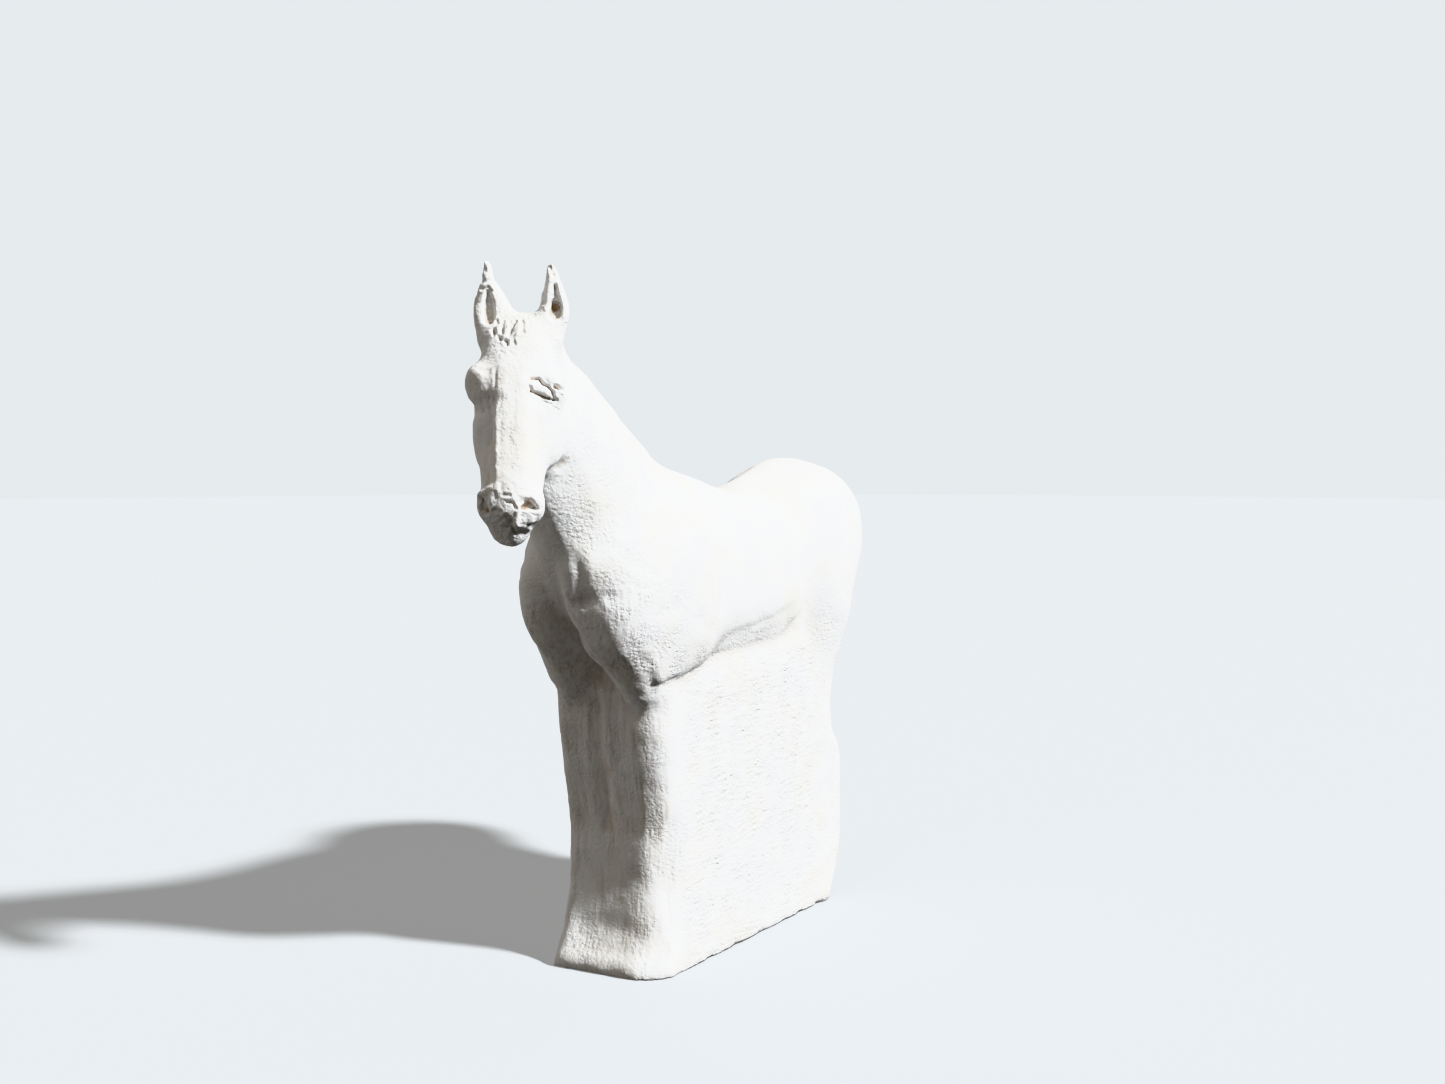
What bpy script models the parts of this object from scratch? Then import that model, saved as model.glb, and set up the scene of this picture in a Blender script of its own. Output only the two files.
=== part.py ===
"""Stoneware horse: one solid piece of white clay, a standing horse whose legs are a single upright block.

The figure is built up the way a modeller packs clay. Rounded lumps are laid over a leg block, their
meeting edges are smoothed into one skin, and grooves are drawn into that skin. Places and radii are in
carving units: the horse stands 420 units high, its leg block is 223 units long and 77 wide, and the three
driving sizes below say how long a unit is in metres. X is the horse's left, -Y its front and Z up.
"""

import math

import bmesh
import bpy
import numpy as np
from mathutils import Euler, Matrix, Vector

# Driving sizes of the real sculpture, in metres
FIGURE_HEIGHT = 0.420
BLOCK_LENGTH = 0.223
BLOCK_WIDTH = 0.077

# The same three sizes in carving units
UNITS_HIGH = 420.0
UNITS_LONG = 223.0
UNITS_WIDE = 77.0
UNIT = np.array([BLOCK_WIDTH / UNITS_WIDE, BLOCK_LENGTH / UNITS_LONG, FIGURE_HEIGHT / UNITS_HIGH])

# Pose of the head, from the poll between the ears
POLL = np.array([3.0, -200.0, 388.0])
HEAD_TURN = 29.0
HEAD_PITCH = 70.0
HEAD_ROLL = 0.0

# How finely the skin is worked, and how many triangles the finished solid keeps
SKIN_VOXEL = 1.8
SOLID_TRIANGLES = 9400

CLAY_WHITE = (0.86, 0.84, 0.80, 1.0)


def turn_matrix(degrees):
    """Rotation matrix from turns about X, Y and Z, in degrees."""
    return np.array(Euler([math.radians(a) for a in degrees]).to_matrix())


def head_matrix():
    """Columns are the head's own axes in the figure: its left, out of its face, and down its face."""
    turn = math.radians(HEAD_TURN)
    pitch = math.radians(HEAD_PITCH)
    facing = np.array([math.sin(turn), -math.cos(turn), 0.0])
    down = np.array([0.0, 0.0, -1.0])
    along = math.cos(pitch) * facing + math.sin(pitch) * down
    out = math.sin(pitch) * facing - math.cos(pitch) * down
    left = np.array([math.cos(turn), math.sin(turn), 0.0])
    roll = math.radians(HEAD_ROLL)
    rolled_left = math.cos(roll) * left - math.sin(roll) * along
    rolled_along = math.cos(roll) * along + math.sin(roll) * left
    return np.stack([rolled_left, out, rolled_along], axis=1)


def profile(places, knots):
    """A smooth line through (place, value) knots, read at each place."""
    at, value = np.array(knots, float).T
    slope = np.gradient(value, at)
    i = np.clip(np.searchsorted(at, places) - 1, 0, len(at) - 2)
    span = at[i + 1] - at[i]
    t = np.clip((places - at[i]) / span, 0, 1)
    ease = t * t * (3 - 2 * t)
    rise = span * (slope[i] * t * (1 - t) ** 2 - slope[i + 1] * t * t * (1 - t))
    return value[i] + (value[i + 1] - value[i]) * ease + rise


def lump(centre, radii, turn=(0, 0, 0), blend=8.0, boxy=2.0):
    """A rounded mass of clay that runs into its neighbours over blend; boxy over 2 squares it up."""
    return {"centre": np.array(centre, float), "radii": np.array(radii, float), "turn": turn_matrix(turn),
            "blend": blend, "boxy": boxy}


def pair(centre, radii, turn=(0, 0, 0), blend=8.0, boxy=2.0):
    """The same lump on the left side and, mirrored, on the right side."""
    x, y, z = centre
    mirrored = (turn[0], -turn[1], -turn[2])
    return [lump((x, y, z), radii, turn, blend, boxy), lump((-x, y, z), radii, mirrored, blend, boxy)]


def roll_of_clay(start, end, start_radii, end_radii, count=7, blend=8.0, boxy=2.0):
    """A tapering roll: lumps spaced along a line, each wide, deep and long as the two ends' radii say."""
    lumps = []
    for step in range(count):
        share = step / (count - 1)
        centre = (1 - share) * np.array(start, float) + share * np.array(end, float)
        radii = (1 - share) * np.array(start_radii, float) + share * np.array(end_radii, float)
        lumps.append(lump(centre, radii, (0, 0, 0), blend, boxy))
    return lumps


TRUNK = [
    lump((0, 0, 228.5), (47.5, 116, 59), blend=9, boxy=2.4),
    lump((0, -48, 262), (20, 56, 38), blend=20),
    lump((-3, 104, 258), (20, 78, 45), blend=20),
    lump((0, 115.5, 252.5), (48, 62.5, 52.5), blend=14, boxy=2.3),
    lump((-20, -108, 231), (26.5, 47, 45), blend=12),
    lump((19.5, -105, 231), (28.5, 50, 45), blend=12, boxy=2.6),
    lump((10, -127, 246), (19, 34.5, 30), blend=12),
    *pair((28, -82, 234), (21, 42, 52), (18, 0, 0), 26),
    *pair((24, -100, 196), (19, 30, 36), blend=10),
    *pair((25, 107, 220), (26, 33, 58), blend=14),
    *pair((24, 102, 166), (16, 22, 44), blend=12),
]

NECK = [
    *roll_of_clay((0, -96, 252), (3, -174, 338), (33, 55, 42), (17, 30, 30), 7, 16),
    *roll_of_clay((0, -46, 263), (3, -162, 338), (16, 26, 27), (11, 20, 20), 7, 14),
    lump((3, -181, 362), (14, 19, 25), blend=8),
]

# Head lumps are in the head's own axes, from the poll: left, out of the face, down the face
HEAD = [
    lump((1, -20, 20), (20, 20, 27), blend=8, boxy=2.6),
    lump((1, -9, 34), (19, 11, 26), blend=8, boxy=2.6),
    *roll_of_clay((1.5, -5, 40), (1.5, -4, 102), (12.5, 10, 14), (11, 8, 12), 7, 4, 3.0),
    *roll_of_clay((0.5, -16, 50), (0.5, -15, 106), (19, 12, 16), (13.5, 10, 12), 7, 7, 2.6),
    *roll_of_clay((0, -30, 64), (0, -22, 112), (12, 12, 14), (9, 8, 8), 6, 8, 2.4),
    lump((17.5, -28, 53), (9.5, 23, 26), (12, 0, 0), 7, 2.6),
    lump((-13.5, -29, 54), (9, 23, 26), (12, 0, 0), 8, 2.6),
    lump((20.5, -7, 41), (8, 9, 11.5), blend=4),
    lump((1, -10, 105), (14, 11.5, 13.5), blend=5, boxy=2.4),
    lump((13.5, -8, 106), (6, 8.5, 9.5), blend=4),
    lump((-11.8, -8, 105.5), (5.4, 8.5, 9), blend=4),
    lump((0, -16, 118), (10.5, 9, 8.8), blend=4),
]

# The right brow, a knob whose lower side a knife left flat
RIGHT_BROW = lump((-18.5, -7, 38), (8.5, 9.5, 12))

# Ear outlines from root to tip: half-width by share of the ear's length, left and right, and half-depth
LEFT_EAR_WIDTH = [(0.0, 7.6), (0.2, 8.6), (0.4, 7.9), (0.6, 6.0), (0.75, 4.2), (0.88, 2.9), (1.0, 1.6)]
RIGHT_EAR_WIDTH = [(0.0, 7.4), (0.2, 8.8), (0.4, 8.6), (0.56, 6.4), (0.7, 3.6), (0.87, 2.9), (1.0, 1.5)]
EAR_DEPTH = [(0.0, 6.5), (0.4, 5.2), (0.75, 3.0), (1.0, 1.6)]
EAR_HEIGHT = 33.0


def ear(side, widths, rise):
    """One upright ear: a leaf-shaped mass on a broad root, narrowing to its tip."""
    lumps = [lump((side * 15.5 + 1.5, -13, 8), (8.5, 9, 10), blend=6)]
    lumps.append(lump((side * 10 + 1, -13, 3 - side), (6.5, 7, 7.5), blend=6))
    for share in np.linspace(0, 1, 13):
        width = float(profile(share, widths))
        depth = float(profile(share, EAR_DEPTH))
        lean = math.sin(math.pi * share)
        across = side * (17.5 + 0.4 * lean) + 1.7 + 0.9 * lean - 0.8 * share
        place = (across, -12 + 12 * share, 3 - rise * share)
        lumps.append(lump(place, (width, depth, 4.5), blend=2.0))
    return lumps


EARS = ear(1, LEFT_EAR_WIDTH, EAR_HEIGHT - 1.5) + ear(-1, RIGHT_EAR_WIDTH, EAR_HEIGHT + 0.5)
EARS += roll_of_clay((-12, -10, -14), (-4, -13, 1), (4, 5, 6), (5.5, 6, 5), 4, 4)


def mass_distance(points, mass):
    """Near enough the distance from each point to a rounded mass, negative inside it."""
    boxy = mass["boxy"]
    scaled = np.abs((points - mass["centre"]) @ mass["turn"]) / mass["radii"]
    reach = np.maximum((scaled**boxy).sum(1), 1e-9) ** (1 / boxy)
    slope = np.linalg.norm((scaled / reach[:, None]) ** (boxy - 1) / mass["radii"], axis=1)
    return (reach - 1.0) / np.maximum(slope, 1e-6)


def soft_union(first, second, blend):
    """The lesser of two distances, with a fillet about as wide as blend where they meet."""
    share = np.clip(0.5 + 0.5 * (second - first) / blend, 0.0, 1.0)
    return second * (1 - share) + first * share - blend * share * (1 - share)


def pared(distance, points, cut, blend):
    """What a knife leaves of a form once all beyond a flat cut is gone; the blend rounds the cut's edge."""
    place, facing = np.array(cut)
    return -soft_union(-distance, -(points - place) @ facing, blend)


def soft_cut(first, second, blend):
    """What is left of the first form once the second is pressed out of it, with a softened lip."""
    return -soft_union(-first, second, blend)


def joined(points, masses, reach=30.0):
    """Distance to a heap of lumps, each run into those before it; a far lump is left out of the sum."""
    distance = np.full(len(points), 1e3)
    for mass in masses:
        near = np.linalg.norm(points - mass["centre"], axis=1) < mass["radii"].max() * 1.5 + reach
        near |= distance > 999
        share = soft_union(mass_distance(points[near], mass), distance[near], mass["blend"])
        distance[near] = share
    return distance


# Leg block: its front and rear faces and half-width by height, in units
FRONT_FACE = [(-20, -115), (0, -114.8), (9, -113), (17, -109.2), (25, -105), (35, -101.6)]
FRONT_FACE += [(48, -99.5), (66, -97.5), (100, -101), (137, -108), (230, -112)]
REAR_FACE = [(-20, 113), (0, 114), (16, 123), (34, 131), (75, 132), (104, 130.5), (119, 120), (150, 116)]
REAR_FACE += [(230, 122)]
SIDE_FACE = [(-20, 40), (0, 40), (24, 38.8), (60, 38.8), (230, 39)]
CORNER_BY_HEIGHT = [(-20, 25), (0, 26), (60, 27), (84, 24), (110, 20), (160, 17), (230, 16)]
RIGHT_CORNER = 8.0
REAR_CORNER = 12.0
BLOCK_TOP = 214.0

# The flat panel trowelled between the fore and hind legs
PANEL_FRONT = -92.0
PANEL_REAR = 90.0
PANEL_DEPTH = 1.8


def plan_of_block(x, y, z):
    """Distance in plan from the block's rounded rectangle at each height."""
    front = profile(z, FRONT_FACE)
    rear = profile(z, REAR_FACE)
    half_width = profile(z, SIDE_FACE)
    middle = (front + rear) / 2
    corner = np.where(y < middle, profile(z, CORNER_BY_HEIGHT), REAR_CORNER)
    corner = np.where(x > 0, corner, RIGHT_CORNER)
    along = np.abs(y - middle) - (rear - front) / 2 + corner
    across = np.abs(x) - half_width + corner
    outside = np.hypot(np.maximum(along, 0), np.maximum(across, 0))
    return outside + np.minimum(np.maximum(along, across), 0) - corner


def leg_block(points):
    """The upright block that stands for the four legs: a rounded slab with a flat panel on each side."""
    x, y, z = points.T
    reach = np.maximum(PANEL_FRONT - y, y - PANEL_REAR)
    panel = PANEL_DEPTH * np.clip(0.5 - reach / 5.0, 0, 1)
    plan = plan_of_block(x, y, z) + np.where(np.abs(x) > 20, panel, 0)
    return np.maximum(plan, z - BLOCK_TOP)


def add_block(bm):
    """Rough slab inside the leg block's faces, level by level, for the skin to start from."""
    levels = []
    for height in np.linspace(-12, BLOCK_TOP - 3, 34):
        front = float(profile(height, FRONT_FACE)) + 1
        rear = float(profile(height, REAR_FACE)) - 1
        wide = float(profile(height, SIDE_FACE)) - 2
        ends = [(wide, front + 24), (wide - 24, front), (9 - wide, front), (-wide, front + 9)]
        ends += [(-wide, rear - 9), (9 - wide, rear), (wide - 9, rear), (wide, rear - 9)]
        levels.append([bm.verts.new((px, py, height)) for px, py in ends])
    for lower, upper in zip(levels, levels[1:]):
        for i in range(8):
            j = (i + 1) % 8
            bm.faces.new((lower[j], lower[i], upper[i], upper[j]))
    bm.faces.new(levels[0])
    bm.faces.new(levels[-1][::-1])


def stroke_depth(points, path, width, depth):
    """How much clay one tool stroke takes away near each point; a negative depth lays clay on."""
    path = np.array(path, float)
    taken = np.zeros(len(points))
    reach = 2.2 * width
    near = np.all((points > path.min(0) - reach) & (points < path.max(0) + reach), axis=1)
    if not near.any():
        return taken
    local = points[near]
    closest = np.full(len(local), 1e9)
    for start, end in zip(path[:-1], path[1:]):
        run = end - start
        share = np.clip((local - start) @ run / max(run @ run, 1e-9), 0, 1)
        closest = np.minimum(closest, np.linalg.norm(local - start - share[:, None] * run, axis=1))
    taken[near] = depth * np.exp(-((closest / width) ** 2))
    return taken


# Strokes seen from the side: (y, z) path, width, depth. They are drawn on both flanks
SIDE_STROKES = [
    ([(-104, 178), (-78, 181), (-41, 187), (0, 188), (44, 190), (58, 200), (66, 209)], 2.4, 0.8),
    ([(-44, 197), (-5, 202), (38, 209)], 4.0, 0.8),
    ([(-57, 250), (-60, 236), (-63, 222), (-68, 206)], 6.5, 1.5),
    ([(-128, 222), (-108, 225), (-88, 215)], 6.0, 0.9),
    ([(-131, 172), (-110, 173), (-92, 178)], 2.6, 1.2),
    ([(58, 240), (62, 224), (66, 212)], 12.0, 0.5),
    ([(80, 210), (92, 198), (104, 184)], 8.0, 0.8),
    ([(86, 250), (84, 230), (82, 210)], 11.0, -1.4),
    ([(93, 104), (92, 70), (92, 34)], 4.0, 0.9),
    ([(-40, 262), (0, 268), (40, 262)], 16.0, -0.8),
]

# Strokes seen from the front: (x, z) path, width, depth, on the chest and the face of the leg block
FRONT_STROKES = [
    ([(0, 252), (-1, 226), (0, 200), (1, 178)], 6.0, 3.4),
    ([(13.5, 252), (15, 240), (16, 231)], 4.0, 2.8),
    ([(15, 228), (22, 228), (31, 232)], 4.5, 1.6),
    ([(-14, 236), (-9, 220), (-3, 205)], 5.0, 2.2),
    ([(-30, 236), (-27, 214), (-22, 196)], 7.0, -1.8),
    ([(20, 214), (26, 198), (28, 184)], 8.0, 1.2),
    ([(37, 204), (38, 192), (36, 177)], 3.0, 1.2),
    ([(5, 160), (5, 128)], 3.2, 1.8),
    ([(-7, 162), (-7, 86)], 4.4, 2.8),
    ([(-22, 150), (-24, 90)], 5.0, 1.0),
    ([(-29, 13), (-27, 17)], 9.0, -1.4),
    ([(-8, 11), (-4, 15)], 9.0, -0.8),
]

# Strokes on the back: (x, z) path, width, depth, for the tail laid close between the hams
BACK_STROKES = [
    ([(0, 288), (0, 262), (1, 230), (1, 196), (0, 160), (0, 132)], 8.0, -5.0),
    ([(12, 268), (13, 236), (13, 200), (11, 160)], 4.5, 2.4),
    ([(-12, 268), (-12, 236), (-12, 200), (-11, 160)], 4.5, 2.4),
    ([(0, 104), (0, 60), (0, 24)], 5.0, 2.4),
]

# Strokes on the head, in the head's own axes: left, out of the face, down the face
HEAD_STROKES = [
    ([(9.5, 4, 37), (14, 4, 41), (19, 2, 43.5), (23, -3, 42.5), (27, -12, 38)], 2.2, 3.0),
    ([(10, 3.5, 46), (17, 1, 49), (24, -3, 50)], 2.1, 2.6),
    ([(12, 3, 42.5), (18, 1.5, 45.5), (23, -3, 46)], 2.6, -1.6),
    ([(-9, 3, 50), (-14, 0, 52), (-19, -6, 53), (-23, -14, 50)], 3.4, 3.0),
    ([(-13, 1, 58), (-12.5, 0, 76), (-12, -1, 94)], 4.5, 1.4),
    ([(23, -37, 72), (21.5, -31, 77), (18, -27, 82)], 4.0, 5.0),
    ([(24, -52, 30), (25, -54, 45), (25, -50, 60), (23, -38, 71)], 4.0, 2.6),
    ([(-16, -40, 76), (-15, -34, 82)], 4.0, 3.0),
    ([(15, -13, 113.5), (10, -8, 117), (5, -6, 118.5)], 1.6, 0.8),
    ([(3, 2, 103), (3, 1, 108), (1, -2, 114)], 2.2, -1.4),
    ([(-3, 2, 106), (-4, 0, 110)], 3.0, 2.2),
    ([(-9, 1, 3), (-8, 2, 11)], 2.4, 2.0),
    ([(-3, 2, 6), (-3, 3, 18)], 2.4, 1.8),
    ([(4, 2, 2), (5, 3, 12)], 2.6, 1.2),
]

# Flat faces left by a knife, each as a place on the cut and the way that it faces: the throat's left
# side, and in the head's own axes the right brow's underside and the muzzle's side under its nostril
THROAT_CUT = ((16.5, -160.4, 264.2), (0.62, -0.70, -0.35))
BROW_CUT = ((-17.0, 2.0, 37.3), (-0.5, 0.75, 0.43))
MUZZLE_CUT = ((0.0, -2.0, 116.5), (-0.45, 0.51, 0.73))

# Hollows pressed into the head: centre and radii in the head's own axes
HEAD_HOLLOWS = [
    lump((11.5, 1.5, 108.5), (5.0, 7.0, 3.4), (0, 20, 0)),
    lump((-12.5, 0.5, 108), (4.6, 7.0, 4.2), (0, -24, 0)),
    lump((20.3, -3.0, -7.5), (4.0, 5.6, 10.5), (-20, 0, 0)),
    lump((-16.6, -3.4, -6.0), (3.8, 5.6, 11.5), (-20, 0, 0)),
]


def carving(points):
    """Clay taken off the body by every side, front and back stroke."""
    x, y, z = points.T
    taken = np.zeros(len(points))
    from_side = np.stack([y, z], 1)
    flank = np.clip((np.abs(x) - 14) / 12, 0, 1)
    for path, width, depth in SIDE_STROKES:
        taken += flank * stroke_depth(from_side, path, width, depth)
    from_front = np.stack([x, z], 1)
    fore = np.clip((-60 - y) / 20, 0, 1)
    for path, width, depth in FRONT_STROKES:
        taken += fore * stroke_depth(from_front, path, width, depth)
    aft = np.clip((y - 70) / 20, 0, 1)
    for path, width, depth in BACK_STROKES:
        taken += aft * stroke_depth(from_front, path, width, depth)
    return taken


def clay(points):
    """Distance from each point to the horse's skin, in units, negative inside the clay."""
    distance = np.full(len(points), 60.0)
    x, y, z = points.T
    low = z < 330
    body = soft_union(joined(points[low], TRUNK), leg_block(points[low]), 3.5)
    distance[low] = body + carving(points[low])
    front = (y < -20) & (z > 190)
    neck = pared(joined(points[front], NECK), points[front], THROAT_CUT, 5.0)
    distance[front] = soft_union(distance[front], neck, 14.0)
    high = (y < -120) & (z > 215)
    in_head = (points[high] - POLL) @ head_matrix()
    head = soft_union(joined(in_head, HEAD), joined(in_head, EARS), 3.0)
    brow = pared(mass_distance(in_head, RIGHT_BROW), in_head, BROW_CUT, 2.5)
    head = soft_union(head, brow, 4.0)
    for path, width, depth in HEAD_STROKES:
        head += stroke_depth(in_head, path, width, depth)
    head = pared(head, in_head, MUZZLE_CUT, 1.5)
    for hollow in HEAD_HOLLOWS:
        head = soft_cut(head, mass_distance(in_head, hollow), 1.5)
    distance[high] = soft_union(distance[high], head, 6.0)
    return distance


def add_lump(bm, mass, frame=Matrix.Identity(4)):
    turn = Matrix(mass["turn"].tolist()).to_4x4()
    matrix = frame @ Matrix.Translation(mass["centre"]) @ turn @ Matrix.Diagonal((*mass["radii"], 1.0))
    bmesh.ops.create_uvsphere(bm, u_segments=20, v_segments=12, radius=1.0, matrix=matrix)


def packed_clay():
    """All the lumps and the block as one mesh object of overlapping shells, in units."""
    bm = bmesh.new()
    head = Matrix.Translation(POLL) @ Matrix(head_matrix().tolist()).to_4x4()
    for mass in TRUNK + NECK:
        add_lump(bm, mass)
    for mass in HEAD + [RIGHT_BROW] + EARS:
        add_lump(bm, mass, head)
    add_block(bm)
    mesh = bpy.data.meshes.new("packed_clay")
    bm.to_mesh(mesh)
    bm.free()
    return bpy.data.objects.new("packed_clay", mesh)


def applied(obj):
    """The object's evaluated mesh, with its modifiers worked in."""
    bpy.context.view_layer.update()
    return bpy.data.meshes.new_from_object(obj.evaluated_get(bpy.context.evaluated_depsgraph_get()))


def remesh(obj, voxel):
    modifier = obj.modifiers.new("skin", "REMESH")
    modifier.mode = "VOXEL"
    modifier.voxel_size = voxel
    modifier.adaptivity = 0.0
    obj.data = applied(obj)
    obj.modifiers.clear()


def points_of(mesh):
    flat = np.empty(len(mesh.vertices) * 3)
    mesh.vertices.foreach_get("co", flat)
    return flat.reshape(-1, 3)


def settle(obj, steps):
    """Draws every vertex along the form's own slope until it lies on the skin."""
    points = points_of(obj.data)
    probe = 0.3
    for _ in range(steps):
        distance = clay(points)
        slope = np.stack([(clay(points + probe * axis) - distance) / probe for axis in np.eye(3)], axis=1)
        steepness = np.maximum((slope**2).sum(1), 0.2)
        step = np.clip(distance, -4, 4)[:, None] * slope / steepness[:, None]
        points = points - step
    obj.data.vertices.foreach_set("co", points.ravel())
    obj.data.update()


def relax(obj, rounds):
    """Evens the spacing of the vertices, then the next settle puts them back on the skin."""
    modifier = obj.modifiers.new("relax", "SMOOTH")
    modifier.factor = 0.5
    modifier.iterations = rounds
    obj.data = applied(obj)
    obj.modifiers.clear()


def thin(obj, triangles):
    """Collapses the flattest places first, down to about this many triangles, and spares the head."""
    mesh = obj.data
    mesh.calc_loop_triangles()
    plain = obj.vertex_groups.new(name="plain_clay")
    places = points_of(mesh)
    in_head = (places - POLL) @ head_matrix()
    away = np.clip(np.linalg.norm((in_head - (0, -10, 50)) / (34, 40, 92), axis=1) - 0.9, 0, 0.4) / 0.4
    for level in range(11):
        chosen = np.flatnonzero(np.round(away * 10) == level)
        plain.add(chosen.tolist(), 0.5 + level / 20, "REPLACE")
    modifier = obj.modifiers.new("thin", "DECIMATE")
    modifier.ratio = triangles / len(mesh.loop_triangles)
    modifier.vertex_group = plain.name
    modifier.vertex_group_factor = 0.8
    modifier.use_collapse_triangulate = True
    obj.data = applied(obj)
    obj.modifiers.clear()
    obj.vertex_groups.clear()


def cut_flat_underside(obj):
    """Slices the clay off at the board it was built on, which leaves one flat underside."""
    bm = bmesh.new()
    bm.from_mesh(obj.data)
    geometry = bm.verts[:] + bm.edges[:] + bm.faces[:]
    board = {"plane_co": (0, 0, 0), "plane_no": (0, 0, -1)}
    bmesh.ops.bisect_plane(bm, geom=geometry, dist=0.05, clear_outer=True, **board)
    rim = [edge for edge in bm.edges if edge.is_boundary]
    bmesh.ops.holes_fill(bm, edges=rim, sides=0)
    bmesh.ops.triangulate(bm, faces=bm.faces[:])
    bmesh.ops.recalc_face_normals(bm, faces=bm.faces[:])
    bm.to_mesh(obj.data)
    bm.free()


def stoneware():
    material = bpy.data.materials.new("white_stoneware")
    material.use_nodes = True
    shader = material.node_tree.nodes["Principled BSDF"]
    shader.inputs["Base Color"].default_value = CLAY_WHITE
    shader.inputs["Roughness"].default_value = 0.9
    shader.inputs["Metallic"].default_value = 0.0
    return material


def main():
    for obj in list(bpy.data.objects):
        bpy.data.objects.remove(obj)
    collection = bpy.data.collections.new("stoneware_horse_sculpture")
    bpy.context.scene.collection.children.link(collection)
    horse = packed_clay()
    horse.name = "stoneware_horse"
    collection.objects.link(horse)
    remesh(horse, SKIN_VOXEL)
    settle(horse, 3)
    relax(horse, 3)
    remesh(horse, SKIN_VOXEL)
    settle(horse, 2)
    relax(horse, 2)
    settle(horse, 2)
    thin(horse, SOLID_TRIANGLES)
    cut_flat_underside(horse)
    horse.data.transform(Matrix.Diagonal((*UNIT, 1.0)))
    horse.data.shade_smooth()
    horse.data.materials.append(stoneware())


main()
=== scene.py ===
import math

import bmesh
import bpy
import numpy as np
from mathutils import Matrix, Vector


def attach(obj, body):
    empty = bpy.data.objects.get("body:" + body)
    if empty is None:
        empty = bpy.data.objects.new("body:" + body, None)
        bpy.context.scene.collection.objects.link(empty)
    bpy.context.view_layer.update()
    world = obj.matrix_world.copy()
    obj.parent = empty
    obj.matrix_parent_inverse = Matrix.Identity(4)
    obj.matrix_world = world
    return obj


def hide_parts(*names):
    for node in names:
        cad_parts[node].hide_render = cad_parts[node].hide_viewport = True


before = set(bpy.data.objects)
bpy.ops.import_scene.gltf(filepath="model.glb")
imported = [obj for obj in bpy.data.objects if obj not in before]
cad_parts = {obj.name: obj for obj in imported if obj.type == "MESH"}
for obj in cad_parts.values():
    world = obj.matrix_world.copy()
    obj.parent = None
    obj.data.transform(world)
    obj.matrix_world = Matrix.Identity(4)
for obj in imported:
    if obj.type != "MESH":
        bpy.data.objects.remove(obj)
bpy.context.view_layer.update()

# The studio. A plain pale floor, the camera at the height and side of the photograph, one soft far lamp high
# on the horse's left that leaves its front in warm shade, and a weak pale surround that fills that shade.
PHOTO_LENS = 42.5
CAMERA_PLACE = (0.571, -0.943, 0.320)
CAMERA_BEARING = 30.5
CAMERA_DIP = 3.42
FLOOR_GREY = "C9CDD1"
FLOOR_RADIUS = 9.0
FLOOR_GLOW = 0.15
SURROUND_SEEN = "F3F8FB"
SURROUND_FILL = "FFF9F0"
FILL_AT_STRONGEST = 0.47
PALE_SIDE = (-0.80, 0.0, 0.60)
LAMP_STRENGTH = 6.2
LAMP_COLOUR = "FBFDFF"
LAMP_ANGLE = 5.0
LAMP_SIDE = (0.79, 0.05, 0.61)
LAMP_DISTANCE = 4


def linear(hex_colour):
    """An sRGB hex colour as the linear values that a shader's socket takes."""
    parts = [int(hex_colour[i:i + 2], 16) / 255 for i in (0, 2, 4)]
    return tuple(p / 12.92 if p <= 0.04045 else ((p + 0.055) / 1.055) ** 2.4 for p in parts) + (1.0,)


def add_node(tree, kind, inputs=None, **settings):
    """Adds a node, sets its properties, and sets or links its inputs, which are named by key or number."""
    node = tree.nodes.new(kind)
    for key, value in settings.items():
        setattr(node, key, value)
    for key, value in (inputs or {}).items():
        socket = node.inputs[key]
        if isinstance(value, bpy.types.NodeSocket):
            tree.links.new(value, socket)
        else:
            socket.default_value = value
    return node


def studio_paper():
    """Pale matt paper, glowing a little so that the shadow on it stays light."""
    material = bpy.data.materials.new("pale_studio_paper")
    material.use_nodes = True
    shader = material.node_tree.nodes["Principled BSDF"]
    shader.inputs["Base Color"].default_value = linear(FLOOR_GREY)
    shader.inputs["Roughness"].default_value = 0.95
    shader.inputs["Emission Color"].default_value = linear(SURROUND_SEEN)
    shader.inputs["Emission Strength"].default_value = FLOOR_GLOW
    return material


def lay_floor():
    bm = bmesh.new()
    bmesh.ops.create_circle(bm, cap_ends=True, segments=96, radius=FLOOR_RADIUS)
    mesh = bpy.data.meshes.new("studio_floor")
    bm.to_mesh(mesh)
    bm.free()
    mesh.materials.append(studio_paper())
    floor = bpy.data.objects.new("studio_floor", mesh)
    bpy.context.scene.collection.objects.link(floor)
    # The floor throws no light back up at the horse.
    floor.visible_diffuse = False


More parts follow.
